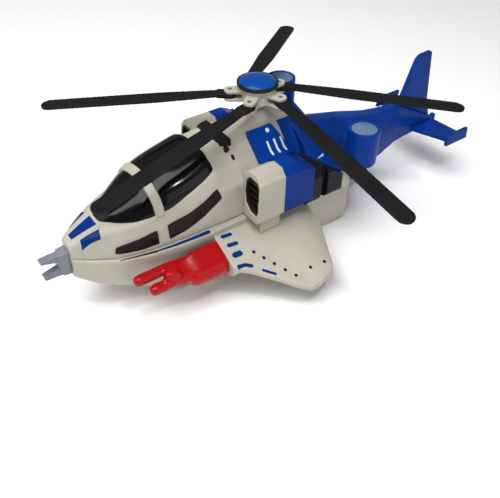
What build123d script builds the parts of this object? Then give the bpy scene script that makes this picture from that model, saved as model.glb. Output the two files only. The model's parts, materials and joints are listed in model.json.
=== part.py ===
from build123d import *
import os
from math import cos, radians, sin

# Toy helicopter, millimetres. +Z is up, the nose points along -Y and the port side is +X.
# The origin lies on the flat belly, straight below the rotor axis.

# ---- overall sizes ----
NOSE_Y = -153.0            # flat front of the nose
TAIL_Y = 197.0             # rear end of the tail boom
HUB_Z = 121.0              # middle plane of the blade roots
BLADE_REACH = 134.0        # fold pin to blade tip
HALF_BEAM = 50.0           # outer face of each engine nacelle

# ---- hull ----
SPLIT_Z = 52.0             # seam between the belly tub and the upper shell
REAR_DECK_Z = 46.0         # lower deck of the tub, under engines and tail boom
SHELL_REAR_Y = 12.0        # rear end of the upper shell, where the tub steps down
TUB_REAR_Y = 74.0          # rear end of the tub
WALL = 2.4                 # hull moulding thickness

# Belly tub stations: y, half widths at bottom, side and seam, heights of bottom and side.
TUB_STATIONS = [
    (NOSE_Y, 5.6, 7.6, 8.0, 35.0, 40.0),
    (-140.0, 12.0, 16.0, 18.5, 27.0, 31.0),
    (-126.0, 17.0, 23.5, 27.5, 22.0, 27.0),
    (-108.0, 20.0, 28.5, 33.0, 12.5, 27.0),
    (-85.0, 24.0, 31.0, 36.0, 3.0, 26.0),
    (-60.0, 27.0, 32.0, 36.5, 0.0, 24.0),
    (0.0, 29.0, 34.0, 36.0, 0.0, 20.0),
    (TUB_REAR_Y, 30.0, 35.0, 35.5, 0.0, 9.0),
]

# Upper shell stations: y, half width at the seam, then (half width, height) of the
# window belt, the sill, the foot of the spine wall and the edge of the deck.
SHELL_STATIONS = [
    (NOSE_Y, 7.0, (6.8, 56.0), (6.2, 60.0), (5.4, 61.8), (4.0, 62.6)),
    (-140.0, 16.5, (15.5, 58.0), (13.5, 64.5), (11.5, 67.0), (8.0, 68.2)),
    (-128.0, 23.5, (22.5, 61.0), (18.5, 69.0), (15.0, 71.5), (10.0, 72.5)),
    (-112.0, 27.5, (27.3, 63.0), (24.0, 72.0), (20.0, 73.0), (14.0, 73.5)),
    (-95.0, 29.7, (30.0, 66.0), (27.8, 76.5), (23.0, 78.0), (15.0, 78.5)),
    (-75.0, 31.2, (32.0, 72.0), (29.8, 83.0), (25.0, 86.0), (16.0, 87.0)),
    (-54.0, 32.0, (32.5, 78.0), (28.0, 92.0), (19.0, 95.5), (16.0, 99.5)),
    (-35.0, 32.0, (32.0, 79.0), (26.0, 89.0), (16.0, 95.0), (11.8, 103.5)),
    (-12.0, 32.0, (31.5, 77.0), (22.5, 86.0), (9.5, 99.5), (5.0, 109.0)),
    (SHELL_REAR_Y, 32.0, (31.0, 76.0), (21.0, 86.0), (9.0, 99.0), (4.0, 109.5)),
]

# ---- canopy ----
GLASS_WALL = 1.8
HOOP_Y = -96.5             # cross hoop over the glass
HOOP_WIDTH = 5.6
HOOP_PROUD = 1.2
# Canopy stations: y, then (half width, height) of foot and shoulder, and crest height.
CANOPY_STATIONS = [
    (-130.0, (9.5, 66.0), (6.5, 71.0), 72.8),
    (-122.0, (15.5, 66.0), (11.5, 75.0), 78.0),
    (-110.0, (22.0, 66.0), (16.5, 80.5), 85.0),
    (-95.0, (27.0, 70.0), (20.5, 87.5), 93.0),
    (-78.0, (28.8, 76.0), (21.5, 93.0), 98.0),
    (-65.0, (28.5, 82.0), (21.0, 96.5), 101.0),
    (-54.0, (27.0, 88.0), (19.0, 99.3), 102.4),
]

# ---- rotor ----
BLADE_COUNT = 5
EAR_START = 18.8           # direction of the first clevis, degrees from +X
FOLD_SWEEP = [22.9, 24.5, 2.3, 34.1, 38.9]   # each blade's trail behind its clevis
EAR_ORDER = [0, -1, -2, 2, 1]                # clevis numbers round the hub
PIN_RADIUS_AT = 18.8       # hub axis to fold pin
BLADE_WIDTH = 12.4
BLADE_ROOT_WIDTH = 8.4
BLADE_THICKNESS = 1.7
BLADE_FLARE = 42.0         # length over which a blade widens from its root
BLADE_ROOT_THICKNESS = 3.0
BLADE_DROOP = 5.8          # degrees, from just outside the clevis
DROOP_START = 9.0          # fold pin to the bend
EAR_WIDTH = 8.4
EAR_THICKNESS = 2.2
EAR_GAP = 0.3              # free height above and below a blade root
FOLD_PIN_RADIUS = 1.5
PIN_FIT = 0.05             # radial running clearance of pins and shaft
HUB_CORE_RADIUS = 11.0
HUB_DISC_RADIUS = 14.2
HUB_DISC_TOP = HUB_Z + 7.6
CAP_RIM_RADIUS = 14.3
CAP_RIM_HEIGHT = 2.2
CAP_RADIUS = 13.2
CAP_HEIGHT = 3.8
MAST_RADIUS = 4.2          # cream sleeve under the hub
SHAFT_RADIUS = 2.0
MAST_FOOT_Z = 111.5        # top of the fixed mast foot
MAST_FOOT_RADIUS = 5.5
MAST_FOOT_BASE_RADIUS = 9.0
MAST_FOOT_BASE_Z = 103.0
SHAFT_END_Z = 88.0
CLIP_RADIUS = 4.0
CLIP_HEIGHT = 2.0
BUSH_RADIUS = 3.6
RUN_GAP = 0.4              # axial running gap of rotating pieces

# ---- nacelles ----
NACELLE_FRONT_Y = -35.0
NACELLE_SEAM_Y = -12.0     # cream intake to blue cowl
NACELLE_REAR_Y = 14.0
NACELLE_BOTTOM_Z = 53.0
NACELLE_TOP_Z = 90.5
NACELLE_INNER_X = 27.0
INTAKE_DEPTH = 9.0
INTAKE_MIDDLE = (41.0, 72.5)                 # x and height of the mouth's middle
INTAKE_MOUTH = [
    (5.4, -14.0), (7.5, -10.5), (7.5, 9.5), (5.2, 13.2), (-3.0, 14.2),
    (-6.6, 10.5), (-7.8, 0.5), (-6.2, -8.5), (-1.0, -13.4),
]
INTAKE_LINER = 0.9         # dark liner's bore as a share of the mouth
LOUVRE_COUNT = 4
LOUVRE_STEP = 5.0
LOUVRE_HEIGHT = 1.6
ENGINE_REAR_Y = 47.0
EXHAUST_X = 39.5
EXHAUST_Z = 51.0
EXHAUST_LENGTH = 9.0
EXHAUST_RADIUS = 6.5
EXHAUST_BORE = 3.6
PEDESTAL = (31.0, 47.0, -30.0, -13.0)        # x low, x high, y low, y high

# ---- wings ----
WING_THICKNESS = 4.0
WING_PLAN = [
    (30.0, -62.0), (60.0, -62.0), (66.0, -52.0), (79.0, -37.0), (90.0, -27.0),
    (95.0, -20.0), (95.0, -13.0), (91.0, 1.0), (88.0, 4.5), (72.0, 11.5), (58.0, 17.0), (30.0, 17.0),
]
WING_TOP = [(28.0, 48.0), (36.0, 47.0), (46.0, 42.5), (58.0, 37.0), (78.0, 28.0), (104.0, 19.5)]
STUB_FRONT_Y = -62.0
STUB_REAR_Y = -47.0
WING_SLOT_PLACES = [(38.3, 45.9), (45.4, 42.8), (52.7, 39.4)]     # x and surface height
SLOT_FRONT_Y = -58.4
SLOT_LENGTH = 9.4
SLOT_WIDTH = 3.0
SLOT_DEPTH = 0.6

# ---- tail ----
SADDLE_FRONT_Y = 25.0      # raised front edge of the boom's saddle
SADDLE_NECK = 6.0          # how far the recessed neck in front of it is drawn in
# Boom stations: y, then (half width, height) of bottom, side, shoulder and ridge edge.
BOOM_STATIONS = [
    (SADDLE_FRONT_Y, (31.0, REAR_DECK_Z), (33.0, 66.0), (23.5, 84.0), (4.5, 97.0)),
    (42.0, (34.0, REAR_DECK_Z), (37.0, 63.0), (27.0, 77.0), (5.0, 87.5)),
    (62.0, (31.0, 40.0), (35.0, 59.0), (24.0, 74.0), (5.5, 83.5)),
    (82.0, (20.0, 25.0), (24.0, 56.0), (17.0, 71.0), (5.5, 79.0)),
    (112.0, (8.5, 20.5), (12.5, 50.0), (9.5, 65.0), (5.0, 70.8)),
    (150.0, (5.0, 32.5), (7.5, 46.0), (6.0, 58.0), (3.6, 65.5)),
    (TAIL_Y, (3.0, 34.5), (3.6, 37.0), (3.2, 39.5), (2.2, 41.0)),
]
FIN_THICKNESS = 4.4
FIN_OUTLINE = [
    (140.0, 60.0), (151.0, 68.0), (163.5, 103.0), (168.0, 106.0), (179.6, 106.5),
    (186.0, 62.0), (194.0, 40.5), (170.0, 40.0),
]
STAB_THICKNESS = 3.2
STAB_OUTLINE = [(2.0, 168.0), (9.0, 169.0), (40.0, 175.5), (40.0, 193.5), (9.0, 196.5), (2.0, 196.5)]
STAB_Z = 37.5
STAB_RISE = 5.5            # degrees of dihedral
ENDPLATE = (171.5, 198.0, 6.5, 2.6)          # y low, y high, height, thickness
POD_X = 48.0
POD_Y = 60.0
POD_RADIUS = 11.75
POD_TOP_Z = 97.0
POD_BOTTOM_Z = 68.0
LENS_RADIUS = 9.2
LENS_DEPTH = 2.5

# ---- launchers and nose fork ----
LAUNCHER_Y = STUB_FRONT_Y
LAUNCHER_FRONT_Y = -98.0
DRUM_OUTLINE = [(37.5, 45.5), (40.5, 46.4), (51.0, 39.8), (54.6, 36.2), (55.5, 31.5), (53.0, 25.6),
                (48.5, 23.6), (43.0, 24.6), (37.5, 30.0)]      # x, height
DRUM_CENTRE = (45.0, 35.5)
DRUM_STEPS = [(28.0, 0.72), (25.5, 0.88), (21.0, 0.97), (14.0, 1.0), (0.0, 1.0)]   # forward, size share
BARREL_RADIUS = 3.9
BARRELS = [(38.6, 41.0, -126.5), (47.4, 36.2, -119.8), (46.0, 41.2, -108.0)]   # x, height, tip

# ---- fasteners ----
SCREW_SPOTS = [(-18.0, -70.0), (18.0, -70.0), (-20.0, -4.0), (20.0, -4.0)]
SCREW_RADIUS = 1.3
SCREW_HEAD_RADIUS = 2.8
SCREW_HEAD_HEIGHT = 1.8
SCREW_RECESS = 3.5
SCREW_LENGTH = 16.0
BOSS_RADIUS = 4.2
BOSS_TOP_Z = 12.0

SIDES = {"port": 1, "starboard": -1}


def mirrored(shape, side):
    """The same piece for the port (+1) or starboard (-1) side."""
    return shape if side > 0 else shape.mirror(Plane.YZ)


def outline_at(y, half):
    """Closed symmetric polygon across the hull at y, from its bottom up to its top."""
    right = [(x, y, z) for x, z in half]
    left = [(-x, y, z) for x, z in reversed(half)]
    return Wire.make_polygon(right + left, close=True)


def lofted(outlines, ruled=False):
    """One solid through a row of outlines."""
    return Solid.make_loft(outlines, ruled)


def side_prism(points, half_width):
    """A prism across the part from a closed list of (y, z)."""
    wire = Wire.make_polygon([(-half_width, y, z) for y, z in points], close=True)
    return Solid.extrude(Face(wire), Vector(2 * half_width, 0, 0))


def front_prism(points, y_low, y_high):
    """A prism along the part from a closed list of (x, z)."""
    wire = Wire.make_polygon([(x, y_low, z) for x, z in points], close=True)
    return Solid.extrude(Face(wire), Vector(0, y_high - y_low, 0))


def plan_prism(points, z_low, z_high):
    """An upright prism from a closed list of (x, y)."""
    wire = Wire.make_polygon([(x, y, z_low) for x, y in points], close=True)
    return Solid.extrude(Face(wire), Vector(0, 0, z_high - z_low))


def block(x_low, x_high, y_low, y_high, z_low, z_high):
    """A box given by its limits."""
    size = (x_high - x_low, y_high - y_low, z_high - z_low)
    return Pos(x_low, y_low, z_low) * Solid.make_box(*size)


def upright(x, y, z_low, z_high, radius):
    """An upright cylinder."""
    return Pos(x, y, z_low) * Solid.make_cylinder(radius, z_high - z_low)


def largest(shape):
    """The biggest solid of a result."""
    return max(shape.solids(), key=lambda solid: solid.volume)


def one_hull(pieces):
    """The pieces fused into a single solid."""
    whole = pieces[0]
    for piece in pieces[1:]:
        whole = whole + piece
    return largest(whole)


# ---- hull ----
def tub_outlines(inset, stretch):
    """Cross sections of the tub, drawn in by the wall; stretch carries them past the seam."""
    rows = []
    for y, bottom, side, seam, bottom_z, side_z in TUB_STATIONS:
        half = [
            (bottom - inset * 0.6, bottom_z + inset),
            (side - inset, side_z + inset * 0.5),
            (seam - inset, SPLIT_Z + stretch),
        ]
        rows.append(outline_at(y, half))
    return rows


def tub_body():
    """The filled outer form of the belly tub."""
    body = lofted(tub_outlines(0.0, 0.0), True)
    rear_cut = side_prism(
        [
            (TUB_REAR_Y - 9.0, -1.0), (TUB_REAR_Y, 20.0), (TUB_REAR_Y - 2.0, SPLIT_Z + 1.0),
            (TUB_REAR_Y + 5.0, SPLIT_Z + 1.0), (TUB_REAR_Y + 5.0, -1.0),
        ],
        HALF_BEAM,
    )
    deck_cut = block(-HALF_BEAM, HALF_BEAM, SHELL_REAR_Y, TUB_REAR_Y + 5.0, REAR_DECK_Z, SPLIT_Z + 5.0)
    body = body - rear_cut - deck_cut
    for side in SIDES.values():
        corner = plan_prism([(26.0, TUB_REAR_Y + 1.0), (37.0, TUB_REAR_Y - 10.0),
                             (37.0, TUB_REAR_Y + 1.0)],
                            -1.0, SPLIT_Z)
        body = body - mirrored(corner, side)
    return largest(body)


def shell_outlines(inset, drop):
    """Cross sections of the upper shell, drawn in by the wall and carried below the seam by drop."""
    rows = []
    for y, seam, belt, sill, foot, deck in SHELL_STATIONS:
        half = [
            (seam - inset, SPLIT_Z - drop),
            (belt[0] - inset, belt[1]),
            (sill[0] - inset, sill[1] - inset * 0.6),
            (foot[0] - inset, foot[1] - inset),
            (deck[0] - inset * 0.7, deck[1] - inset),
        ]
        rows.append(outline_at(y, half))
    return rows


def mast_foot():
    """The cone on the spine that carries the rotor mast."""
    height = MAST_FOOT_Z - MAST_FOOT_BASE_Z
    return Pos(0, 0, MAST_FOOT_BASE_Z) * Solid.make_cone(MAST_FOOT_BASE_RADIUS, MAST_FOOT_RADIUS, height)


def shell_body():
    """The filled outer form of the upper shell, with its mast foot."""
    body = lofted(shell_outlines(0.0, 0.0), True)
    spine_end = side_prism(
        [(6.0, 120.0), (6.0, 109.8), (SHELL_REAR_Y, 99.0), (SHELL_REAR_Y + 1.0, 99.0),
         (SHELL_REAR_Y + 1.0, 120.0)],
        HALF_BEAM,
    )
    return one_hull([body - spine_end, mast_foot()])


tub_form = tub_body()
shell_form = shell_body()


def belly_tub():
    """Lower half of the hull, with a shelf up to the shell, screw bosses and recesses."""
    hollow = lofted(tub_outlines(WALL, 1.0), True)
    shelf = block(-HALF_BEAM, HALF_BEAM, NOSE_Y, SHELL_REAR_Y, SPLIT_Z - WALL, SPLIT_Z)
    shelf = shelf - lofted(shell_outlines(WALL, WALL + 1.0), True)
    ends = block(-HALF_BEAM, HALF_BEAM, NOSE_Y + 8.0, TUB_REAR_Y - 12.0, WALL, SPLIT_Z + 2.0)
    under_deck = block(-HALF_BEAM, HALF_BEAM, SHELL_REAR_Y - 2.0, TUB_REAR_Y, REAR_DECK_Z - WALL,
                       SPLIT_Z + 2.0)
    tub = tub_form - ((hollow & ends) - under_deck - shelf)
    for x, y in SCREW_SPOTS:
        tub = tub + upright(x, y, WALL / 2, BOSS_TOP_Z, BOSS_RADIUS)
        tub = tub - upright(x, y, -1.0, SCREW_RECESS, SCREW_HEAD_RADIUS + 0.3)
        tub = tub - upright(x, y, -1.0, BOSS_TOP_Z + 1.0, SCREW_RADIUS + 0.2)
    return largest(tub)


def upper_shell():
    """Upper half of the hull from nose to mast, with posts for the belly screws."""
    hollow = lofted(shell_outlines(WALL, 1.0), True)
    ends = block(-HALF_BEAM, HALF_BEAM, NOSE_Y + 8.0, SHELL_REAR_Y - WALL, SPLIT_Z - 2.0, HUB_Z)
    spine_keep = side_prism([(1.0, 120.0), (1.0, 101.0), (SHELL_REAR_Y, 92.0), (SHELL_REAR_Y, 120.0)],
                            HALF_BEAM)
    shell = shell_form - ((hollow & ends) - spine_keep)
    shell = shell - upright(0, 0, SHAFT_END_Z - 4.0, MAST_FOOT_Z - 5.0, BUSH_RADIUS + 2.6)
    shell = shell - upright(0, 0, MAST_FOOT_Z - 6.0, MAST_FOOT_Z + 1.0, BUSH_RADIUS)
    for x, y in SCREW_SPOTS:
        post = upright(x, y, BOSS_TOP_Z, SPLIT_Z + 30.0, BOSS_RADIUS - 0.4)
        bore = upright(x, y, BOSS_TOP_Z - 1.0, SCREW_RECESS + SCREW_LENGTH + 1.0, SCREW_RADIUS)
        shell = shell + (post - bore)
    return largest(shell)


# ---- canopy ----
def arch_at(y, foot, shoulder, crest, inset):
    """A domed outline across the hull: flat foot, then a smooth arch over the crest."""
    rise = [
        (foot[0] - inset, foot[1]),
        (shoulder[0] - inset, shoulder[1] - inset * 0.7),
        (0.0, crest - inset),
    ]
    over = rise + [(-x, z) for x, z in reversed(rise[:-1])]
    arch = Edge.make_spline([Vector(x, y, z) for x, z in over])
    base = Edge.make_line((-rise[0][0], y, rise[0][1]), (rise[0][0], y, rise[0][1]))
    return Wire([arch, base])


def canopy_form(inset, growth=0.0):
    """The filled dome; growth swells it for the pieces that stand proud of the glass."""
    rows = []
    for y, foot, shoulder, crest in CANOPY_STATIONS:
        rows.append(arch_at(y, foot, shoulder, crest, inset - growth))
    return lofted(rows)


glass_dome = canopy_form(0.0)
hoop_dome = canopy_form(0.0, HOOP_PROUD)
hoop_band = block(-HALF_BEAM, HALF_BEAM, HOOP_Y - HOOP_WIDTH / 2, HOOP_Y + HOOP_WIDTH / 2, SPLIT_Z, HUB_Z)


def canopy_hoop():
    """Cream cross hoop clipped over the glass."""
    return largest((hoop_dome & hoop_band) - canopy_form(0.6) - shell_form)


def canopy_glass():
    """Dark one-piece canopy shell seated on the sill, with a shallow seat for the hoop."""
    inner = canopy_form(GLASS_WALL)
    keep = block(-HALF_BEAM, HALF_BEAM, CANOPY_STATIONS[0][0] + 4.0, CANOPY_STATIONS[-1][0] - 1.5,
                 SPLIT_Z, HUB_Z)
    glass = glass_dome - (inner & keep)
    return largest(glass - canopy_hoop() - shell_form)


# ---- side windows ----
WINDOWS = {
    "window_front": [(-129.0, 55.8), (-124.0, 55.0), (-114.0, 54.6), (-100.0, 55.2), (-100.6, 66.5),
                     (-112.0, 63.6), (-128.0, 60.4)],
    "window_rear": [(-92.5, 55.8), (-80.0, 58.4), (-67.0, 64.0), (-52.0, 74.0), (-55.0, 82.0),
                    (-66.0, 76.0), (-78.0, 71.5), (-93.5, 68.0)],
}
WINDOW_DEPTH = 1.2


def window_cutter(name, side):
    """Everything of the hull's flank inside a window's outline, on one side."""
    points = WINDOWS[name]
    wire = Wire.make_polygon([(0.0, y, z) for y, z in points], close=True)
    prism = Solid.extrude(Face(wire), Vector(HALF_BEAM, 0, 0))
    return mirrored(prism, side)


def window_skin():
    """The outer skin of the shell to the depth of a window pane."""
    core = lofted(shell_outlines(WINDOW_DEPTH, 0.0), True)
    return shell_form - core


shell_skin = window_skin()


def window_pane(name, side):
    """One dark pane let into the flank."""
    return largest(shell_skin & window_cutter(name, side))


# ---- nacelles ----
def nacelle_section(shrink=0.0):
    """Cross section (x, z) of the nacelle."""
    low = NACELLE_BOTTOM_Z + shrink
    top = NACELLE_TOP_Z - shrink
    out = HALF_BEAM - shrink
    return [
        (NACELLE_INNER_X + shrink, low), (out - 2.0, low), (out, low + 2.0),
        (out, top - 5.5), (out - 4.6, top), (36.0, top), (NACELLE_INNER_X + shrink, top - 6.0),
    ]


def intake_opening(share=1.0, set_back=-1.0):
    """The tall oval mouth and its duct, or a narrower copy that starts further back."""
    mid_x, mid_z = INTAKE_MIDDLE
    mouth = [(mid_x + x * share, mid_z + z * share) for x, z in INTAKE_MOUTH]
    return front_prism(mouth, NACELLE_FRONT_Y + set_back, NACELLE_FRONT_Y + INTAKE_DEPTH)


def intake_housing(side):
    """Cream front of the nacelle, open at the intake."""
    body = front_prism(nacelle_section(), NACELLE_FRONT_Y, NACELLE_SEAM_Y)
    rake = side_prism([(NACELLE_FRONT_Y - 1.0, NACELLE_BOTTOM_Z - 1.0),
                       (NACELLE_FRONT_Y - 1.0, NACELLE_TOP_Z + 1.0),
                       (NACELLE_FRONT_Y + 2.0, NACELLE_TOP_Z + 1.0),
                       (NACELLE_FRONT_Y, NACELLE_BOTTOM_Z - 1.0)],
                      HALF_BEAM + 5.0)
    foot = block(PEDESTAL[0], PEDESTAL[1], PEDESTAL[2], PEDESTAL[3], 36.0, NACELLE_BOTTOM_Z + 1.0)
    body = one_hull([body, foot]) - rake - intake_opening()
    return largest(mirrored(body, side) - shell_form - tub_form - wing_body(side))


def intake_grille(side):
    """Dark insert lining the intake duct, with louvres across its back."""
    back = NACELLE_FRONT_Y + INTAKE_DEPTH
    duct = intake_opening(set_back=1.5)
    plate = duct & block(0.0, HALF_BEAM, back - 2.0, back, 0.0, HUB_Z)
    insert = duct - intake_opening(INTAKE_LINER) + plate
    lowest = INTAKE_MIDDLE[1] - LOUVRE_STEP * (LOUVRE_COUNT - 1) / 2
    for index in range(LOUVRE_COUNT):
        height = lowest + index * LOUVRE_STEP
        insert = insert + (duct & block(0.0, HALF_BEAM, back - 5.0, back, height, height + LOUVRE_HEIGHT))
    return largest(mirrored(insert, side) - shell_form)


def nacelle_cowl(side):
    """Blue rear cover of the nacelle, closing down towards the tail."""
    body = front_prism(nacelle_section(), NACELLE_SEAM_Y, NACELLE_REAR_Y)
    top_slope = side_prism(
        [(-1.0, NACELLE_TOP_Z), (NACELLE_REAR_Y - 2.0, NACELLE_TOP_Z - 8.0),
         (NACELLE_REAR_Y + 1.0, NACELLE_TOP_Z - 8.0),
         (NACELLE_REAR_Y + 1.0, NACELLE_TOP_Z + 1.0), (-1.0, NACELLE_TOP_Z + 1.0)],
        HALF_BEAM + 5.0,
    )
    return largest(mirrored(body, side) - top_slope - shell_form - tub_form)


def cowl_panel(side):
    """Blue flank panel between the spine and the nacelle."""
    section = [(9.5, 96.0), (9.8, 101.6), (12.0, 101.4), (24.0, 89.0), (31.0, 86.5), (31.0, 78.0)]
    rear_slant = side_prism([(3.0, 105.0), (SHELL_REAR_Y, 86.0), (SHELL_REAR_Y + 1.0, 86.0),
                             (SHELL_REAR_Y + 1.0, 105.0)],
                            HALF_BEAM)
    body = front_prism(section, -17.0, SHELL_REAR_Y) - rear_slant
    nacelle = mirrored(front_prism(nacelle_section(), NACELLE_FRONT_Y, NACELLE_REAR_Y), side)
    return largest(mirrored(body, side) - shell_form - nacelle)


def engine_block(side):
    """Dark engine casing behind the nacelle."""
    casing = front_prism(
        [(27.0, REAR_DECK_Z), (43.0, REAR_DECK_Z), (45.5, 49.0), (45.5, 68.0), (41.0, 76.0),
         (27.0, 80.0)],
        NACELLE_REAR_Y, ENGINE_REAR_Y,
    )
    step = block(41.0, 60.0, NACELLE_REAR_Y + 12.0, NACELLE_REAR_Y + 18.0, REAR_DECK_Z - 1.0, 90.0)
    slope = side_prism([(NACELLE_REAR_Y + 6.0, 80.1), (ENGINE_REAR_Y, 62.0), (ENGINE_REAR_Y + 1.0, 62.0),
                        (ENGINE_REAR_Y + 1.0, 81.0), (NACELLE_REAR_Y + 6.0, 81.0)], HALF_BEAM)
    body = mirrored(casing - step - slope, side)
    return largest(body - shell_form - tub_form - boom_form - wing_body(side))


def exhaust_nozzle(side):
    """Cream round nozzle behind the engine casing."""
    cone = Solid.make_cone(EXHAUST_RADIUS, EXHAUST_RADIUS - 1.0, EXHAUST_LENGTH)
    nozzle = Pos(EXHAUST_X, ENGINE_REAR_Y, EXHAUST_Z) * Rot(-90, 0, 0) * cone
    bore = Solid.make_cylinder(EXHAUST_BORE, EXHAUST_LENGTH)
    bore = Pos(EXHAUST_X, ENGINE_REAR_Y + 3.0, EXHAUST_Z) * Rot(-90, 0, 0) * bore
    return largest(mirrored(nozzle - bore, side) - tub_form - boom_form)


# ---- wings ----
def wing_raw():
    """Drooped port wing with its launcher stub, running into the hull."""
    droop = WING_TOP + [(x, z - WING_THICKNESS) for x, z in reversed(WING_TOP)]
    blade = plan_prism(WING_PLAN, 0.0, 60.0) & front_prism(droop, -80.0, 40.0)
    stub = front_prism([(30.0, 46.0), (38.0, 44.8), (50.0, 39.4), (61.0, 34.2), (60.0, 28.0),
                        (52.0, 23.5), (30.0, 23.5)],
                       STUB_FRONT_Y, STUB_REAR_Y)
    taper = side_prism([(STUB_FRONT_Y + 3.0, 22.0), (STUB_REAR_Y + 1.0, 22.0), (STUB_REAR_Y + 1.0, 33.0)],
                       90.0)
    return one_hull([blade, stub - taper])


def wing_slots(side):
    """Short grooves on the wing root behind the launcher."""
    grooves = []
    for x, z in WING_SLOT_PLACES:
        groove = block(x - SLOT_WIDTH / 2, x + SLOT_WIDTH / 2, SLOT_FRONT_Y, SLOT_FRONT_Y + SLOT_LENGTH,
                       z - SLOT_DEPTH, z + 5.0)
        grooves.append(mirrored(groove, side))
    return grooves


def wing_body(side):
    """One wing before its grooves, without the hull that it butts against."""
    return largest(mirrored(wing_raw(), side) - tub_form - shell_form)


def wing(side):
    """One wing with its grooves."""
    body = wing_body(side)
    for groove in wing_slots(side):
        body = body - groove
    return largest(body)


def launcher(side):
    """Red launcher: a drum with a rounded shoulder, a front block and barrels, on the wing stub."""
    rows = []
    for forward, share in DRUM_STEPS:
        corners = [
            (DRUM_CENTRE[0] + (x - DRUM_CENTRE[0]) * share, LAUNCHER_Y - forward,
             DRUM_CENTRE[1] + (z - DRUM_CENTRE[1]) * share)
            for x, z in DRUM_OUTLINE
        ]
        rows.append(Wire.make_polygon(corners, close=True))
    rear = lofted(rows, True)
    front = front_prism([(37.0, 44.5), (41.0, 44.5), (50.5, 39.0), (51.5, 33.0), (47.0, 29.5),
                         (40.0, 31.0), (37.0, 36.0)],
                        LAUNCHER_FRONT_Y, LAUNCHER_Y - 26.0)
    pieces = [rear, front]
    for x, z, tip in BARRELS:
        length = LAUNCHER_FRONT_Y - tip - BARREL_RADIUS + 1.0
        tube = Solid.make_cylinder(BARREL_RADIUS, length)
        barrel = Pos(x, LAUNCHER_FRONT_Y + 1.0, z) * Rot(90, 0, 0) * tube
        tip_ball = Pos(x, tip + BARREL_RADIUS, z) * Solid.make_sphere(BARREL_RADIUS)
        pieces.append(one_hull([barrel, tip_ball]))
    return largest(mirrored(one_hull(pieces), side) - tub_form)


# ---- tail ----
def boom_outlines(inset):
    """Cross sections of the boom, drawn in by the wall."""
    rows = []
    for y, bottom, flank, shoulder, ridge in BOOM_STATIONS:
        half = [
            (bottom[0] - inset * 0.8, bottom[1] + inset), (flank[0] - inset, flank[1]),
            (shoulder[0] - inset, shoulder[1] - inset * 0.5), (ridge[0] - inset * 0.8, ridge[1] - inset),
        ]
        rows.append(outline_at(y, half))
    return rows


def boom_hollow():
    """The inside of the boom, open downwards onto the tub's rear deck."""
    inside = lofted(boom_outlines(WALL), True)
    reach = block(-HALF_BEAM, HALF_BEAM, SADDLE_FRONT_Y + WALL, BOOM_STATIONS[-2][0] - 10.0, 0.0, HUB_Z)
    mouth = block(-22.0, 22.0, SADDLE_FRONT_Y + 6.0, TUB_REAR_Y - 16.0, REAR_DECK_Z - 2.0,
                  REAR_DECK_Z + 6.0)
    return one_hull([inside & reach, mouth])


def boom_body():
    """Tail boom with the saddle that rides on the rear deck."""
    rows = boom_outlines(0.0)
    front = BOOM_STATIONS[0]
    neck_half = [(front[1][0] - SADDLE_NECK, REAR_DECK_Z)]
    neck_half += [(x - SADDLE_NECK, z - SADDLE_NECK * 0.4) for x, z in front[2:4]]
    neck_half += [(front[4][0] - 1.5, front[4][1] + 1.0)]
    neck = front_prism(neck_half + [(-x, z) for x, z in reversed(neck_half)], SHELL_REAR_Y,
                       SADDLE_FRONT_Y + 1.0)
    return largest(one_hull([lofted(rows, True), neck]) - shell_form - tub_form)


def spine_strip():
    """Cream strip running from the mast foot down over the saddle's ridge."""
    top = side_prism([(2.0, 112.0), (7.0, 110.0), (30.0, 95.5), (30.0, 90.0), (2.0, 90.0)], 3.6)
    return largest(top - shell_form - boom_form)


boom_form = boom_body()


def tail_fin():
    """Swept fin standing on the boom."""
    return side_prism(FIN_OUTLINE, FIN_THICKNESS / 2)


def stabilizer(side):
    """One tailplane half with its endplate."""
    plane = plan_prism(STAB_OUTLINE, STAB_Z - STAB_THICKNESS / 2, STAB_Z + STAB_THICKNESS / 2)
    y_low, y_high, height, thickness = ENDPLATE
    plate = block(40.0, 40.0 + thickness, y_low, y_high, STAB_Z - height / 2, STAB_Z + height)
    body = Pos(0, 0, STAB_Z) * Rot(0, -STAB_RISE, 0) * Pos(0, 0, -STAB_Z) * one_hull([plane, plate])
    return largest(mirrored(body, side) - boom_form - tail_fin())


def tail_bumper():
    """Small upright lug at the very end of the boom."""
    lug = side_prism([(TAIL_Y, 34.5), (TAIL_Y + 7.0, 33.5), (TAIL_Y + 6.6, 40.5), (TAIL_Y + 4.0, 40.5),
                      (TAIL_Y, 37.0)], 2.0)
    return lug


def pod_form(side):
    """One upright lamp pod with a rounded foot, before anything is cut from it."""
    height = POD_TOP_Z - POD_BOTTOM_Z
    body = Solid.make_cylinder(POD_RADIUS, height)
    foot = body.edges().sort_by(Axis.Z)[0]
    return Pos(side * POD_X, POD_Y, POD_BOTTOM_Z) * body.fillet(4.0, [foot])


def lamp_pod(side):
    """Blue pod on the boom's shoulder, with a seat for its lens."""
    x = side * POD_X
    arm = mirrored(front_prism([(24.0, 73.0), (POD_X, 80.0), (POD_X, 70.0), (30.0, 60.0)], POD_Y - 7.0,
                               POD_Y + 7.0), side)
    seat = upright(x, POD_Y, POD_TOP_Z - LENS_DEPTH, POD_TOP_Z + 1.0, LENS_RADIUS)
    return largest(one_hull([pod_form(side), arm]) - seat - boom_form)


def pod_lens(side):
    """Pale translucent lens let into the pod's top."""
    return upright(side * POD_X, POD_Y, POD_TOP_Z - LENS_DEPTH, POD_TOP_Z - 0.3, LENS_RADIUS)


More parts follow.
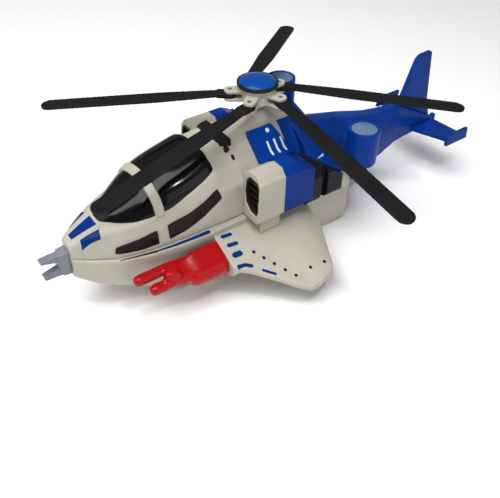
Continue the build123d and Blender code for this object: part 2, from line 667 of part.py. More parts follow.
# ---- nose fork ----
def nose_fork():
    """Grey block on the nose with two forward prongs, one above the other."""
    base = side_prism(
        [
            (NOSE_Y, 57.0), (NOSE_Y - 6.0, 56.0), (NOSE_Y - 8.0, 52.0),
            (NOSE_Y - 8.0, 43.0), (NOSE_Y - 6.0, 39.0), (NOSE_Y, 38.5),
        ],
        4.4,
    )
    prongs = [
        side_prism([(NOSE_Y - 5.0, 56.0), (NOSE_Y - 18.6, 55.4), (NOSE_Y - 19.0, 53.6),
                    (NOSE_Y - 5.0, 49.6)], 2.8),
        side_prism([(NOSE_Y - 5.0, 39.0), (NOSE_Y - 18.2, 39.6), (NOSE_Y - 18.8, 42.2),
                    (NOSE_Y - 5.0, 45.6)], 2.8),
    ]
    pin = Pos(-5.2, NOSE_Y - 3.5, 42.5) * Rot(0, 90, 0) * Solid.make_cylinder(1.6, 10.4)
    return one_hull([base, pin] + prongs)


# ---- spine bar behind the canopy ----
def spine_bar():
    """Dark cross bar over the spine behind the canopy, with a knob at each end."""
    bar = side_prism([(-41.5, 96.0), (-41.5, 103.0), (-39.0, 104.4), (-33.5, 105.4), (-32.0, 103.4),
                      (-32.0, 98.0)], 14.0)
    knobs = Pos(-16.6, -37.0, 98.0) * Rot(0, 90, 0) * Solid.make_cylinder(2.1, 33.2)
    return largest(one_hull([bar, knobs]) - shell_form)


# ---- rotor ----
def ear_angle(index):
    """Direction of one blade's clevis, degrees from +X."""
    return EAR_START + EAR_ORDER[index] * 360.0 / BLADE_COUNT


def pin_place(index):
    """Fold pin position of one blade."""
    angle = radians(ear_angle(index))
    return PIN_RADIUS_AT * cos(angle), PIN_RADIUS_AT * sin(angle)


def rotor_hub():
    """Hub core, disc and clevis ears, with the mast sleeve below."""
    half_gap = BLADE_ROOT_THICKNESS / 2 + EAR_GAP
    low = HUB_Z - half_gap - EAR_THICKNESS
    high = HUB_Z + half_gap + EAR_THICKNESS
    disc = Solid.make_cone(HUB_CORE_RADIUS, HUB_DISC_RADIUS, HUB_DISC_TOP - HUB_Z - half_gap)
    hub = one_hull([
        upright(0, 0, low, high, HUB_CORE_RADIUS),
        Pos(0, 0, HUB_Z + half_gap) * disc,
        upright(0, 0, MAST_FOOT_Z + RUN_GAP, low, MAST_RADIUS),
    ])
    for index in range(BLADE_COUNT):
        x, y = pin_place(index)
        for z_low in (low, HUB_Z + half_gap):
            tab = block(0.0, PIN_RADIUS_AT, -EAR_WIDTH / 2, EAR_WIDTH / 2, z_low, z_low + EAR_THICKNESS)
            hub = hub + Rot(0, 0, ear_angle(index)) * tab
            hub = hub + upright(x, y, z_low, z_low + EAR_THICKNESS, EAR_WIDTH / 2)
        hub = hub - upright(x, y, low - 1.0, HUB_DISC_TOP + 1.0, FOLD_PIN_RADIUS)
    bore = upright(0, 0, MAST_FOOT_Z - 1.0, HUB_DISC_TOP - 2.0, SHAFT_RADIUS)
    return largest(hub - bore)


def fold_pins():
    """One pin through each clevis."""
    half = BLADE_ROOT_THICKNESS / 2 + EAR_GAP + EAR_THICKNESS
    pins = []
    for index in range(BLADE_COUNT):
        x, y = pin_place(index)
        pins.append(upright(x, y, HUB_Z - half, HUB_Z + half, FOLD_PIN_RADIUS))
    return Compound(pins)


def blade(index):
    """One rotor blade, bent down just outside its clevis."""
    root = upright(0, 0, -BLADE_ROOT_THICKNESS / 2, BLADE_ROOT_THICKNESS / 2, BLADE_ROOT_WIDTH / 2)
    neck = block(0.0, DROOP_START, -BLADE_ROOT_WIDTH / 2, BLADE_ROOT_WIDTH / 2,
                 -BLADE_ROOT_THICKNESS / 2, BLADE_ROOT_THICKNESS / 2)
    half_width = BLADE_WIDTH / 2
    outline = [
        (0.0, -BLADE_ROOT_WIDTH / 2), (BLADE_FLARE, -half_width),
        (BLADE_REACH - DROOP_START - half_width, -half_width),
        (BLADE_REACH - DROOP_START - half_width, half_width), (BLADE_FLARE, half_width),
        (0.0, BLADE_ROOT_WIDTH / 2),
    ]
    vane = plan_prism(outline, -BLADE_THICKNESS / 2, BLADE_THICKNESS / 2)
    end = upright(BLADE_REACH - DROOP_START - half_width, 0, -BLADE_THICKNESS / 2, BLADE_THICKNESS / 2,
                  half_width)
    vane = Pos(DROOP_START - 0.5, 0, 0) * Rot(0, BLADE_DROOP, 0) * one_hull([vane, end])
    whole = one_hull([root, neck, vane]) - upright(0, 0, -5.0, 5.0, FOLD_PIN_RADIUS + PIN_FIT)
    x, y = pin_place(index)
    return Pos(x, y, HUB_Z) * Rot(0, 0, ear_angle(index) - FOLD_SWEEP[index]) * largest(whole)


def rotor_cap():
    """Shallow blue dome on the hub."""
    base = HUB_DISC_TOP + CAP_RIM_HEIGHT
    ball_radius = (CAP_RADIUS ** 2 + CAP_HEIGHT ** 2) / (2 * CAP_HEIGHT)
    ball = Pos(0, 0, base + CAP_HEIGHT - ball_radius) * Solid.make_sphere(ball_radius)
    return largest(ball & upright(0, 0, base, base + CAP_HEIGHT + 1.0, CAP_RADIUS))


def cap_rim():
    """Dark ring between hub and cap."""
    return upright(0, 0, HUB_DISC_TOP, HUB_DISC_TOP + CAP_RIM_HEIGHT, CAP_RIM_RADIUS)


def rotor_shaft():
    """Steel shaft from the hub down through the mast bush."""
    return upright(0, 0, SHAFT_END_Z, HUB_DISC_TOP - 2.0, SHAFT_RADIUS)


def mast_bush():
    """Bearing bush pressed into the mast foot."""
    bush = upright(0, 0, MAST_FOOT_Z - 5.5, MAST_FOOT_Z, BUSH_RADIUS)
    return bush - upright(0, 0, MAST_FOOT_Z - 7.0, MAST_FOOT_Z + 1.0, SHAFT_RADIUS + PIN_FIT)


def shaft_clip():
    """Retaining collar on the shaft under the bush."""
    top = MAST_FOOT_Z - 5.5 - RUN_GAP
    return upright(0, 0, top - CLIP_HEIGHT, top, CLIP_RADIUS) - upright(0, 0, 80.0, 120.0, SHAFT_RADIUS)


# ---- fasteners ----
def hull_screws():
    """Belly screws, heads up in their recesses."""
    screws = []
    for x, y in SCREW_SPOTS:
        head = upright(x, y, SCREW_RECESS - SCREW_HEAD_HEIGHT, SCREW_RECESS, SCREW_HEAD_RADIUS)
        shank = upright(x, y, SCREW_RECESS - 0.5, SCREW_RECESS + SCREW_LENGTH, SCREW_RADIUS)
        screws.append(one_hull([head, shank]))
    return Compound(screws)


# ---- writing the pieces ----
nodes = {
    "belly_tub": belly_tub(),
    "upper_shell": upper_shell(),
    "canopy_glass": canopy_glass(),
    "canopy_hoop": canopy_hoop(),
    "spine_bar": spine_bar(),
    "nose_fork": nose_fork(),
    "tail_boom": largest(boom_form - boom_hollow()),
    "tail_bumper": tail_bumper(),
    "spine_strip": spine_strip(),
    "rotor_hub": rotor_hub(),
    "fold_pins": fold_pins(),
    "rotor_cap": rotor_cap(),
    "cap_rim": cap_rim(),
    "rotor_shaft": rotor_shaft(),
    "mast_bush": mast_bush(),
    "shaft_clip": shaft_clip(),
    "hull_screws": hull_screws(),
}
nodes["tail_fin"] = largest(tail_fin() - boom_form)
for index in range(BLADE_COUNT):
    nodes[f"blade_{index + 1}"] = blade(index)
for name, side in SIDES.items():
    nodes[f"wing_{name}"] = wing(side)
    nodes[f"launcher_{name}"] = launcher(side)
    nodes[f"intake_{name}"] = intake_housing(side)
    nodes[f"intake_grille_{name}"] = intake_grille(side)
    nodes[f"nacelle_cowl_{name}"] = nacelle_cowl(side)
    nodes[f"cowl_panel_{name}"] = cowl_panel(side)
    nodes[f"engine_{name}"] = engine_block(side)
    nodes[f"exhaust_{name}"] = exhaust_nozzle(side)
    nodes[f"stabilizer_{name}"] = stabilizer(side)
    nodes[f"lamp_pod_{name}"] = lamp_pod(side)
    nodes[f"pod_lens_{name}"] = pod_lens(side)
    for pane in WINDOWS:
        nodes[f"{pane}_{name}"] = window_pane(pane, side)
        nodes["upper_shell"] = largest(nodes["upper_shell"] - nodes[f"{pane}_{name}"])

os.makedirs("parts", exist_ok=True)
for node, shape in nodes.items():
    export_step(shape, f"parts/{node}.step")
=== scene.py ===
import json
from math import cos, pi, radians, sin

import bmesh
import bpy
import numpy as np
from mathutils import Matrix, Vector
from mathutils.bvhtree import BVHTree


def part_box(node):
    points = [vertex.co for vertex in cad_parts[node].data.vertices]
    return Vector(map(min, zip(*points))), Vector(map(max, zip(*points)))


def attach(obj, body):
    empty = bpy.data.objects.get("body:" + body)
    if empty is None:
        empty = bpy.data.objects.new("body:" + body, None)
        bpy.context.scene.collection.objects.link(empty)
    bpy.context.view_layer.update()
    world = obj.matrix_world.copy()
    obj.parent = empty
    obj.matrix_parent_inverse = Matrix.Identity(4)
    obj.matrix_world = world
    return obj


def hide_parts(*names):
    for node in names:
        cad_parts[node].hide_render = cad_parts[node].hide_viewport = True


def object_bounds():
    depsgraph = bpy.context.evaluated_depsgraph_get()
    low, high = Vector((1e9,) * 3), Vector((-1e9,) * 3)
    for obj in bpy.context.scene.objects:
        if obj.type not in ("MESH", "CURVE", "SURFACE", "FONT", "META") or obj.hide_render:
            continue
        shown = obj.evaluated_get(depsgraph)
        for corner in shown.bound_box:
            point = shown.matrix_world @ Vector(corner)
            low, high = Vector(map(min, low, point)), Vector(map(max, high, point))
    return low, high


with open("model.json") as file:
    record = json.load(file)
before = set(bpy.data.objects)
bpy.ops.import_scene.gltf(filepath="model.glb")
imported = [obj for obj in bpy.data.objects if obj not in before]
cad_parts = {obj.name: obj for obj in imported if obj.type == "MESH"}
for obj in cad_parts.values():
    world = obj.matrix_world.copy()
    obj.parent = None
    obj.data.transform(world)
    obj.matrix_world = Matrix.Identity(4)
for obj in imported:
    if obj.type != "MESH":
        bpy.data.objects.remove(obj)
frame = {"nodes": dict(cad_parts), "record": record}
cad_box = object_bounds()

# Toy helicopter. Lengths are written in millimetres and scaled by MM; +Z is up, the nose
# points along -Y and the port side is +X.
MM = 0.001
SIDES = {"port": 1, "starboard": -1}
BLADES = [f"blade_{i}" for i in range(1, 6)]
TINY = 1e-20               # keeps a division by an empty face's size safe
GRAIN_FINENESS = 22.0      # how much finer a plastic's grain is than its clouds
GRAIN_DEPTH = 0.1 * MM
TURNING_MARKS = 900.0      # noise scale of the faint marks on steel


# ---- materials ----
def new_material(name):
    """An empty node material and its shader."""
    material = bpy.data.materials.new(name)
    material.use_nodes = True
    return material, material.node_tree, material.node_tree.nodes["Principled BSDF"]


def add_noise(tree, coords, scale, detail):
    """A noise texture laid over the object's own coordinates, in metres."""
    noise = tree.nodes.new("ShaderNodeTexNoise")
    noise.inputs["Scale"].default_value = scale
    noise.inputs["Detail"].default_value = detail
    tree.links.new(coords, noise.inputs["Vector"])
    return noise.outputs["Fac"]


def add_range(tree, value, low, high, start=0.3, end=0.7):
    """The value stretched from start..end onto low..high."""
    ramp = tree.nodes.new("ShaderNodeMapRange")
    for name, number in (("From Min", start), ("From Max", end), ("To Min", low), ("To Max", high)):
        ramp.inputs[name].default_value = number
    tree.links.new(value, ramp.inputs["Value"])
    return ramp.outputs["Result"]


def add_mix(tree, factor, first, second):
    """Two colours mixed by a factor; each colour is a tuple or a socket."""
    mix = tree.nodes.new("ShaderNodeMix")
    mix.data_type = "RGBA"
    tree.links.new(factor, mix.inputs[0])
    for name, colour in (("A_Color", first), ("B_Color", second)):
        socket = [s for s in mix.inputs if s.identifier == name][0]
        if isinstance(colour, tuple):
            socket.default_value = (*colour, 1.0)
        else:
            tree.links.new(colour, socket)
    return [s for s in mix.outputs if s.type == "RGBA"][0]


def moulded(name, colour, shade, worn, rough=(0.3, 0.42), grain=0.04, coat=0.0, mottle=45.0,
            shine=0.5):
    """Moulded toy plastic: cloudy colour, paler worn edges, painted shade darkening corners and creases,
    fine grain.
    """
    material, tree, shader = new_material(name)
    coords = tree.nodes.new("ShaderNodeTexCoord").outputs["Object"]
    cloud = add_noise(tree, coords, mottle, 4.0)
    speck = add_noise(tree, coords, mottle * GRAIN_FINENESS, 2.0)
    base = add_mix(tree, add_range(tree, cloud, 0.0, 1.0), colour, shade)
    point = tree.nodes.new("ShaderNodeNewGeometry").outputs["Pointiness"]
    # Painted shade: concave places (low pointiness) are darkened towards 0.55 of the darker tone.
    painted_crease_shade = add_range(tree, point, 0.6, 0.0, start=0.38, end=0.47)
    base = add_mix(tree, painted_crease_shade, base, tuple(0.55 * c for c in shade))
    edge = tree.nodes.new("ShaderNodeMath")
    edge.operation = "MULTIPLY"
    tree.links.new(add_range(tree, point, 0.0, 0.6, start=0.54, end=0.64), edge.inputs[0])
    tree.links.new(add_range(tree, cloud, 0.1, 1.0, start=0.35, end=0.6), edge.inputs[1])
    base = add_mix(tree, edge.outputs[0], base, worn)
    tree.links.new(base, shader.inputs["Base Color"])
    tree.links.new(add_range(tree, speck, *rough), shader.inputs["Roughness"])
    bump = tree.nodes.new("ShaderNodeBump")
    bump.inputs["Strength"].default_value = grain
    bump.inputs["Distance"].default_value = GRAIN_DEPTH
    tree.links.new(speck, bump.inputs["Height"])
    tree.links.new(bump.outputs["Normal"], shader.inputs["Normal"])
    shader.inputs["Specular IOR Level"].default_value = shine
    shader.inputs["Coat Weight"].default_value = coat
    shader.inputs["Coat Roughness"].default_value = 0.08
    return material


def metal(name, colour):
    """Plated steel with faint turning marks."""
    material, tree, shader = new_material(name)
    coords = tree.nodes.new("ShaderNodeTexCoord").outputs["Object"]
    speck = add_noise(tree, coords, TURNING_MARKS, 3.0)
    base = add_mix(tree, speck, colour, tuple(0.7 * c for c in colour))
    tree.links.new(base, shader.inputs["Base Color"])
    tree.links.new(add_range(tree, speck, 0.22, 0.45), shader.inputs["Roughness"])
    shader.inputs["Metallic"].default_value = 1.0
    return material


# Each plastic: its colour, a slightly darker tone of it, and its colour on worn edges. The darker tone,
# at 0.55, is also the painted shade in corners and creases.
CREAM = moulded("cream_plastic", (0.395, 0.375, 0.315), (0.345, 0.325, 0.265), (0.53, 0.52, 0.46),
                rough=(0.32, 0.46), shine=0.3)
BLUE = moulded("blue_plastic", (0.0005, 0.034, 0.235), (0.0004, 0.024, 0.175), (0.006, 0.08, 0.36),
               rough=(0.28, 0.42), grain=0.02, shine=0.08)
CAP_BLUE = moulded("cap_blue", (0.001, 0.048, 0.235), (0.0008, 0.038, 0.19), (0.008, 0.09, 0.34),
                   rough=(0.2, 0.3), grain=0.01, coat=0.1, shine=0.15)
RED = moulded("red_plastic", (0.36, 0.002, 0.005), (0.29, 0.0015, 0.0035), (0.46, 0.012, 0.015),
              rough=(0.2, 0.28), grain=0.005, coat=0.08, shine=0.15)
BLADE = moulded("rotor_black", (0.0075, 0.0075, 0.0085), (0.005, 0.005, 0.0055), (0.022, 0.022, 0.024),
                rough=(0.45, 0.6), grain=0.05, shine=0.12)
GLASS = moulded("canopy_black", (0.003, 0.0032, 0.0035), (0.002, 0.002, 0.0022), (0.008, 0.008, 0.008),
                rough=(0.10, 0.15), grain=0.005, coat=0.05, shine=0.18)
WINDOW = moulded("window_dark", (0.0065, 0.005, 0.004), (0.0045, 0.0035, 0.0028), (0.014, 0.011, 0.009),
                 rough=(0.2, 0.28), grain=0.005, shine=0.12)
GREY = moulded("grey_plastic", (0.17, 0.185, 0.215), (0.13, 0.145, 0.17), (0.30, 0.32, 0.35),
               rough=(0.3, 0.42), grain=0.02, coat=0.05, shine=0.3)
# Dark olive: partly the grille plate's own colour, partly painted shade over the intake duct's shadowed
# inside, which the grille lines.
GRILLE_AND_DUCT_SHADE = moulded("grille_dark", (0.020, 0.018, 0.008), (0.010, 0.010, 0.005), (0.06, 0.055, 0.035),
                 rough=(0.4, 0.6), grain=0.1, shine=0.15)
ENGINE = moulded("engine_dark", (0.0075, 0.008, 0.013), (0.004, 0.005, 0.009), (0.03, 0.03, 0.035),
                 rough=(0.35, 0.5), grain=0.06, shine=0.12)
LENS = moulded("lens_pale", (0.055, 0.11, 0.20), (0.035, 0.08, 0.16), (0.22, 0.30, 0.40),
               rough=(0.14, 0.22), grain=0.01, coat=0.15, shine=0.3)
BUSH = moulded("bush_white", (0.50, 0.50, 0.48), (0.42, 0.42, 0.40), (0.64, 0.64, 0.62),
               rough=(0.35, 0.5))
PAINT_WHITE = moulded("paint_white", (0.50, 0.60, 0.66), (0.42, 0.52, 0.58), (0.65, 0.70, 0.72),
                      rough=(0.3, 0.42), grain=0.02, shine=0.3)
PAINT_BLUE = moulded("paint_blue", (0.0008, 0.024, 0.155), (0.0006, 0.018, 0.115), (0.008, 0.05, 0.24),
                     rough=(0.28, 0.4), grain=0.02, shine=0.1)
PAINT_DARK = moulded("paint_dark", (0.010, 0.010, 0.011), (0.007, 0.007, 0.008), (0.02, 0.02, 0.022),
                     rough=(0.4, 0.55), grain=0.02, shine=0.12)
STEEL = metal("steel", (0.62, 0.62, 0.64))
SLOT_MATERIALS = {
    "cream_plastic": CREAM, "blue_plastic": BLUE, "cap_blue": CAP_BLUE, "red_plastic": RED,
    "rotor_black": BLADE, "canopy_black": GLASS, "window_dark": WINDOW, "grey_plastic": GREY,
    "grille_dark": GRILLE_AND_DUCT_SHADE, "engine_dark": ENGINE, "lens_pale": LENS, "bush_white": BUSH, "steel": STEEL,
}


def node_slots():
    """Each CAD node's material slot, which names the material that it comes in with."""
    return {node: obj.data.materials[0].name.split(".")[0] for node, obj in frame["nodes"].items()}


def body_names():
    """Each CAD node's body, from the record."""
    bodies = frame["record"]["behaviour"]["bodies"]
    return {node: body for body, nodes in bodies.items() for node in nodes}


SLOT_OF = node_slots()
BODY_OF = body_names()


# ---- moulded skins ----
def finish_piece(obj, body, material):
    """Gives a new piece its material and the body that it rides on."""
    obj.data.materials.clear()
    obj.data.materials.append(material)
    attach(obj, body)


def evaluated(obj):
    """The object's mesh with its modifiers applied, as a plain mesh."""
    graph = bpy.context.evaluated_depsgraph_get()
    return bpy.data.meshes.new_from_object(obj.evaluated_get(graph), depsgraph=graph)


def flat_normals(points, corners):
    """Unit normals of triangles, and the size of each in the same order."""
    tri = points[corners]
    cross = np.cross(tri[:, 1] - tri[:, 0], tri[:, 2] - tri[:, 0])
    area = np.linalg.norm(cross, axis=1, keepdims=True)
    return cross / np.maximum(area, TINY), area


def evened_normals(normals, area, pairs, passes, keep_angle):
    """Normals averaged with those of neighbours that lean less than keep_angle away."""
    limit = cos(radians(keep_angle))
    for _ in range(passes):
        dot = np.einsum("ij,ij->i", normals[pairs[:, 0]], normals[pairs[:, 1]])
        weight = np.maximum(dot - limit, 0.0)[:, None]
        total = normals * area * (1.0 - limit)
        for a, b in ((0, 1), (1, 0)):
            gift = normals[pairs[:, b]] * area[pairs[:, b]] * weight
            for axis in range(3):
                total[:, axis] += np.bincount(pairs[:, a], gift[:, axis], minlength=len(normals))
        normals = total / np.maximum(np.linalg.norm(total, axis=1, keepdims=True), TINY)
    return normals


def followed_normals(points, corners, normals, passes):
    """The points, moved so that their triangles come to face along the given normals."""
    count = np.maximum(np.bincount(corners.ravel(), minlength=len(points)), 1)[:, None]
    for _ in range(passes):
        tri = points[corners]
        centre = tri.mean(1)
        move = np.zeros_like(points)
        for k in range(3):
            off = np.einsum("ij,ij->i", centre - tri[:, k], normals)[:, None] * normals
            for axis in range(3):
                move[:, axis] += np.bincount(corners[:, k], off[:, axis], minlength=len(points))
        points = points + move / count
    return points


def relax(mesh, passes, keep_angle):
    """Evens out a mesh's shallow facets. Edges sharper than keep_angle stay."""
    bm = bmesh.new()
    bm.from_mesh(mesh)
    bmesh.ops.triangulate(bm, faces=bm.faces)
    bm.faces.ensure_lookup_table()
    corners = np.array([[v.index for v in f.verts] for f in bm.faces])
    shared = [e.link_faces for e in bm.edges if len(e.link_faces) == 2]
    pairs = np.array([[faces[0].index, faces[1].index] for faces in shared])
    points = np.array([v.co[:] for v in bm.verts])
    normals, area = flat_normals(points, corners)
    normals = evened_normals(normals, area, pairs, passes, keep_angle)
    points = followed_normals(points, corners, normals, passes // 2)
    for vert, place in zip(bm.verts, points):
        vert.co = place
    bm.to_mesh(mesh)
    bm.free()


def skin(node, voxel, passes, keep_angle, keep_share, soften=0):
    """A smooth moulded skin in place of a faceted CAD node, inside the node's own box."""
    obj = bpy.data.objects.new(f"{node}_skin", frame["nodes"][node].data.copy())
    bpy.context.scene.collection.objects.link(obj)
    obj.data.materials.clear()
    remesh = obj.modifiers.new("remesh", "REMESH")
    remesh.mode = "VOXEL"
    remesh.voxel_size = voxel * MM * 1.0
    if soften:
        smooth = obj.modifiers.new("soften", "SMOOTH")
        smooth.iterations = soften
    mesh = evaluated(obj)
    obj.modifiers.clear()
    obj.data = mesh
    relax(mesh, passes, keep_angle)
    thin = obj.modifiers.new("thin", "DECIMATE")
    thin.ratio = keep_share
    obj.data = evaluated(obj)
    obj.modifiers.clear()
    low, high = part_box(node)
    for vert in obj.data.vertices:
        for axis in range(3):
            vert.co[axis] = min(max(vert.co[axis], low[axis]), high[axis])
    obj.data.shade_smooth()
    finish_piece(obj, BODY_OF[node], SLOT_MATERIALS[SLOT_OF[node]])
    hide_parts(node)


# node: (voxel in mm, smoothing passes, angle of the edges that stay, share of faces kept), and
# where all edges are rounded first, how many times
HULL_SKINS = {
    "belly_tub": (0.9, 60, 34.0, 0.45),
    "upper_shell": (0.8, 60, 34.0, 0.5),
    "tail_boom": (0.8, 50, 34.0, 0.4),
    "canopy_glass": (0.6, 200, 60.0, 0.5),
    "canopy_hoop": (0.4, 30, 40.0, 0.5),
    "spine_bar": (0.4, 10, 30.0, 0.5),
    "nose_fork": (0.35, 10, 30.0, 0.5),
    "tail_bumper": (0.5, 20, 40.0, 0.4),
    "tail_fin": (0.6, 20, 30.0, 0.4),
    "rotor_hub": (0.4, 10, 30.0, 0.5),
    "rotor_cap": (0.4, 20, 40.0, 0.5),
}
BLADE_SKIN = (0.4, 10, 30.0, 0.35)
SIDE_SKINS = {
    "wing": (0.7, 50, 40.0, 0.45),
    "launcher": (0.5, 120, 70.0, 0.5, 16),
    "intake": (0.5, 15, 32.0, 0.45),
    "nacelle_cowl": (0.5, 15, 32.0, 0.45),
    "cowl_panel": (0.5, 15, 32.0, 0.45),
    "engine": (0.5, 15, 30.0, 0.4),
    "exhaust": (0.4, 15, 35.0, 0.4),
    "stabilizer": (0.5, 15, 32.0, 0.4),
    "lamp_pod": (0.5, 15, 40.0, 0.4),
    "window_front": (0.35, 20, 35.0, 0.5),
    "window_rear": (0.35, 20, 35.0, 0.5),
}
for node, settings in HULL_SKINS.items():
    skin(node, *settings)
for node, settings in SIDE_SKINS.items():
    for side in SIDES:
        skin(f"{node}_{side}", *settings)
for node in BLADES:
    skin(node, *BLADE_SKIN)


# ---- painted markings ----
PROUD = 0.08 * MM          # how far a marking stands off its host
SKIRT = 0.35 * MM          # how far a marking's rim reaches into its host
TIP_WIDTH = 0.02 * MM      # half width that a rounded end never falls below
ACROSS = 6                 # cells across a marking
REACH = 30.0 * MM          # where the rays that find the surface start
HOSTS = {}


def host_tree(name):
    """Search tree of the skin that a marking lies on."""
    if name not in HOSTS:
        graph = bpy.context.evaluated_depsgraph_get()
        HOSTS[name] = BVHTree.FromObject(bpy.data.objects[name], graph)
    return HOSTS[name]


def along(points, share):
    """The point at a share of a polyline's length, and the direction there."""
    lengths = [(b - a).length for a, b in zip(points, points[1:])]
    left = share * sum(lengths)
    for a, b, length in zip(points, points[1:], lengths):
        if left <= length or b is points[-1]:
            return a.lerp(b, min(left / length, 1.0)), (b - a).normalized()
        left -= length


def on_host(tree, spot, aim):
    """The host's surface seen along aim at a spot, raised by a marking's thickness."""
    hit, normal, _, _ = tree.ray_cast(spot + aim * REACH, -aim)
    if hit is None:
        hit, normal, _, _ = tree.find_nearest(spot)
    if normal.dot(aim) < 0.0:
        normal = -normal
    return hit + normal * PROUD


def rounded_half(half, share, length):
    """Half a band's width, drawn in at its two ends to a half circle."""
    end = min(share, 1.0 - share) * length
    return max(half * max(1.0 - (1.0 - min(end / half, 1.0)) ** 2, 0.0) ** 0.5, TIP_WIDTH)


def marking(name, host, line, widths, aim, slot, material, rounded=True, steps=20):
    """A thin painted patch that follows its host: a band along line, seen along aim."""
    tree = host_tree(host)
    points = [Vector(p) * MM for p in line]
    aim = Vector(aim).normalized()
    length = sum((b - a).length for a, b in zip(points, points[1:]))
    bm = bmesh.new()
    rows = []
    for i in range(steps + 1):
        share = 0.5 - 0.5 * cos(pi * i / steps) if rounded else i / steps
        place, direction = along(points, share)
        half = (widths[0] + (widths[-1] - widths[0]) * share) * MM / 2
        if rounded:
            half = rounded_half(half, share, length)
        side = direction.cross(aim).normalized()
        spots = [place + side * half * (2.0 * j / ACROSS - 1.0) for j in range(ACROSS + 1)]
        rows.append([bm.verts.new(on_host(tree, spot, aim)) for spot in spots])
    for low, high in zip(rows, rows[1:]):
        for j in range(ACROSS):
            bm.faces.new((low[j], low[j + 1], high[j + 1], high[j]))
    left_rim = [row[0] for row in rows[-2:0:-1]]
    right_rim = [row[-1] for row in rows[1:-1]]
    rim = rows[0] + right_rim + rows[-1][::-1] + left_rim
    sunk = [bm.verts.new(vert.co - aim * SKIRT) for vert in rim]
    for k in range(len(rim)):
        follow = (k + 1) % len(rim)
        bm.faces.new((rim[k], sunk[k], sunk[follow], rim[follow]))
    bmesh.ops.recalc_face_normals(bm, faces=bm.faces)
    bm.normal_update()
    if rows[steps // 2][ACROSS // 2].normal.dot(aim) < 0.0:
        bmesh.ops.reverse_faces(bm, faces=bm.faces)
    mesh = bpy.data.meshes.new(name)
    bm.to_mesh(mesh)
    bm.free()
    obj = bpy.data.objects.new(name, mesh)
    bpy.context.scene.collection.objects.link(obj)
    finish_piece(obj, "airframe", material)


def flipped(points, sign):
    """The same places on the port (+1) or starboard (-1) side."""
    return [(x * sign, y, z) for x, y, z in points]


def round_spot(place, radius):
    """A marking's line for a round dot."""
    x, y, z = place
    return [(x, y - radius, z), (x, y + radius, z)]


UP = (0.0, 0.0, 1.0)
# Slots and slashes: line and width. Dots and spots: place. Bands: line, and width at each end.
NOSE_PANEL = ([(0.0, -149.0, 64.0), (0.4, -131.8, 71.0)], (5.4, 10.8))
NOSE_FLASH = ([(9.2, -145.6, 64.0), (13.0, -133.4, 69.0)], (3.4, 5.6))
WING_SLOTS = [
    ([(37.9, -57.6, 46.0), (38.7, -48.8, 46.0)], 2.7),
    ([(44.9, -57.2, 43.0), (45.9, -48.6, 42.0)], 2.8),
    ([(52.6, -58.0, 39.0), (52.8, -49.8, 39.0)], 4.0),
    ([(60.4, -59.6, 36.0), (61.4, -53.4, 35.0), (64.4, -48.8, 34.0)], 2.6),
    ([(69.0, -44.9, 32.0), (75.8, -37.2, 28.0)], 1.9),
]
WING_DOTS = [(56.1, -42.5, 38.0), (62.4, -38.4, 35.0), (68.9, -34.1, 32.0), (75.7, -29.6, 29.0),
             (82.4, -25.3, 27.0), (82.0, -11.9, 27.0), (82.9, 0.2, 26.0)]
WING_DOT_RADIUS = 1.25
COWL_SLASHES = [([(18.6, y, 94.6), (27.4, y - 0.3, 87.9)], 1.7) for y in (-4.9, 1.0, 6.7)]
COWL_SPOT = (13.7, -1.1, 99.7)
COWL_SPOT_RADIUS = 1.6
HULL_SLOT = ([(17.8, -34.0, 94.0), (21.4, -34.7, 91.5)], (2.4, 2.4))
SADDLE_TICK = ([(30.5, 34.2, 71.9), (29.8, 39.8, 73.0)], (0.5, 1.6))
BELT = ([(31.3, -104.0, 52.0), (33.0, -90.0, 52.0), (34.0, -73.0, 52.0), (34.3, -63.6, 52.0)], (1.3, 3.4))
# Dark band ahead of the belt stripe: painted shade of the groove along the tub, laid on in dark paint.
BELT_GROOVE_SHADE = ([(25.4, -127.6, 50.0), (28.0, -118.0, 51.5), (31.6, -103.0, 52.0)], (0.7, 1.9))

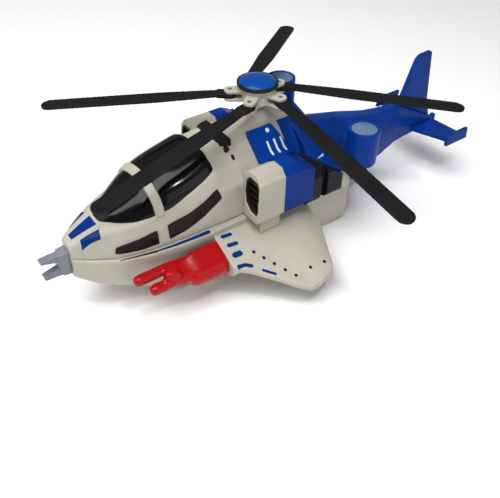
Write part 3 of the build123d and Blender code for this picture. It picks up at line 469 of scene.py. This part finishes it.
marking("nose_panel", "upper_shell_skin", *NOSE_PANEL, UP, "blue_plastic", PAINT_BLUE, rounded=False)
for side, sign in SIDES.items():
    line, widths = NOSE_FLASH
    marking(f"nose_flash_{side}", "upper_shell_skin", flipped(line, sign), widths, UP,
            "blue_plastic", PAINT_BLUE, rounded=False)
    for i, (line, width) in enumerate(WING_SLOTS):
        marking(f"wing_slot_{i + 1}_{side}", f"wing_{side}_skin", flipped(line, sign),
                (width, width), UP, "blue_plastic", PAINT_BLUE, steps=28)
    for i, place in enumerate(WING_DOTS):
        marking(f"wing_rivet_{i + 1}_{side}", f"wing_{side}_skin",
                flipped(round_spot(place, WING_DOT_RADIUS), sign),
                (2 * WING_DOT_RADIUS, 2 * WING_DOT_RADIUS), UP, "engine_dark", PAINT_DARK, steps=16)
    for i, (line, width) in enumerate(COWL_SLASHES):
        marking(f"cowl_slash_{i + 1}_{side}", f"cowl_panel_{side}_skin", flipped(line, sign),
                (width, width), (0.55 * sign, 0.0, 0.83), "cream_plastic", PAINT_WHITE, steps=24)
    marking(f"cowl_spot_{side}", f"cowl_panel_{side}_skin",
            flipped(round_spot(COWL_SPOT, COWL_SPOT_RADIUS), sign),
            (2 * COWL_SPOT_RADIUS, 2 * COWL_SPOT_RADIUS), (0.6 * sign, 0.0, 0.8),
            "cream_plastic", PAINT_WHITE, steps=16)
    line, widths = HULL_SLOT
    marking(f"hull_slot_{side}", "upper_shell_skin", flipped(line, sign), widths,
            (0.5 * sign, 0.0, 0.86), "engine_dark", PAINT_DARK, steps=16)
    line, widths = SADDLE_TICK
    marking(f"saddle_tick_{side}", "tail_boom_skin", flipped(line, sign), widths,
            (0.85 * sign, 0.0, 0.53), "cream_plastic", PAINT_WHITE, rounded=False)
    line, widths = BELT
    marking(f"belt_stripe_{side}", "belly_tub_skin", flipped(line, sign), widths, UP,
            "blue_plastic", PAINT_BLUE, steps=50)
    # painted shade of the groove ahead of the belt stripe
    line, widths = BELT_GROOVE_SHADE
    marking(f"belt_groove_shade_{side}", "belly_tub_skin", flipped(line, sign), widths, UP,
            "engine_dark", PAINT_DARK, steps=30)


# ---- CAD nodes that stay as they are, with a moulded or plated finish ----
for node, obj in frame["nodes"].items():
    if not obj.hide_render:
        obj.data.materials.clear()
        obj.data.materials.append(SLOT_MATERIALS[SLOT_OF[node]])


# ---- floor, lights and camera ----
FLOOR_REACH = 6.0                                  # metres each way
FLOOR_DROP = 0.02 * MM                             # keeps the belly clear of the floor
FLOOR_COLOUR = (0.93, 0.93, 0.93, 1.0)
CAMERA_PLACE = (0.3188, -0.2429, 0.3338)
CAMERA_BACK = (0.59825, -0.44880, 0.66384)         # from the object towards the camera
CAMERA_LEVEL = (0.60009, 0.79993, 0.0)             # to the right in the picture, before the roll
CAMERA_ROLL = radians(1.108)
CAMERA_SENSOR = 36.0
CAMERA_LENS = 46.08
AIM = (0.0, 0.0, 60 * MM)                          # the middle of the hull, where the lamps point
WORLD_STRENGTH = 0.24
# name: (place, size in metres, watts, share in reflections)
LAMPS = {
    "overhead": ((0.10, -0.40, 1.1), 0.9, 16.5, 0.18),
    "from_the_left": ((-0.5, -1.1, 0.7), 0.8, 3.0, 0.08),
    "from_the_right": ((1.1, 0.1, 0.5), 0.8, 2.5, 0.12),
    "flash": ((0.327, -0.086, 0.613), 0.05, 0.8, 1.0),
}


def floor():
    """A wide pale sheet on which the belly stands."""
    bm = bmesh.new()
    bmesh.ops.create_grid(bm, x_segments=8, y_segments=8, size=FLOOR_REACH)
    mesh = bpy.data.meshes.new("floor")
    bm.to_mesh(mesh)
    bm.free()
    obj = bpy.data.objects.new("floor", mesh)
    obj.location.z = cad_box[0][2] - FLOOR_DROP
    bpy.context.scene.collection.objects.link(obj)
    material, _, shader = new_material("floor_paper")
    shader.inputs["Base Color"].default_value = FLOOR_COLOUR
    shader.inputs["Roughness"].default_value = 0.9
    obj.data.materials.append(material)


def area_light(name, place, size, power, glint):
    """A soft square lamp aimed at the hull; glint is its share in reflections."""
    data = bpy.data.lights.new(name, "AREA")
    data.shape = "SQUARE"
    data.size = size
    data.energy = power
    data.specular_factor = glint
    obj = bpy.data.objects.new(name, data)
    obj.location = place
    obj.rotation_euler = (Vector(AIM) - Vector(place)).to_track_quat("-Z", "Y").to_euler()
    bpy.context.scene.collection.objects.link(obj)


def camera():
    """The camera, at the photograph's viewing angle."""
    back = Vector(CAMERA_BACK).normalized()
    level = Vector(CAMERA_LEVEL).normalized()
    rise = back.cross(level)
    right = level * cos(CAMERA_ROLL) + rise * sin(CAMERA_ROLL)
    up = rise * cos(CAMERA_ROLL) - level * sin(CAMERA_ROLL)
    data = bpy.data.cameras.new("camera")
    data.sensor_width = CAMERA_SENSOR
    data.lens = CAMERA_LENS
    data.clip_start = 0.01
    obj = bpy.data.objects.new("camera", data)
    turn = Matrix((right, up, back)).transposed().to_4x4()
    obj.matrix_world = Matrix.Translation(CAMERA_PLACE) @ turn
    bpy.context.scene.collection.objects.link(obj)
    bpy.context.scene.camera = obj


def studio():
    """A plain white surround."""
    world = bpy.data.worlds.new("studio")
    world.use_nodes = True
    background = world.node_tree.nodes["Background"]
    background.inputs["Color"].default_value = (1.0, 1.0, 1.0, 1.0)
    background.inputs["Strength"].default_value = WORLD_STRENGTH
    bpy.context.scene.world = world


floor()
camera()
for name, settings in LAMPS.items():
    area_light(name, *settings)
studio()
bpy.context.scene.view_settings.view_transform = "Standard"
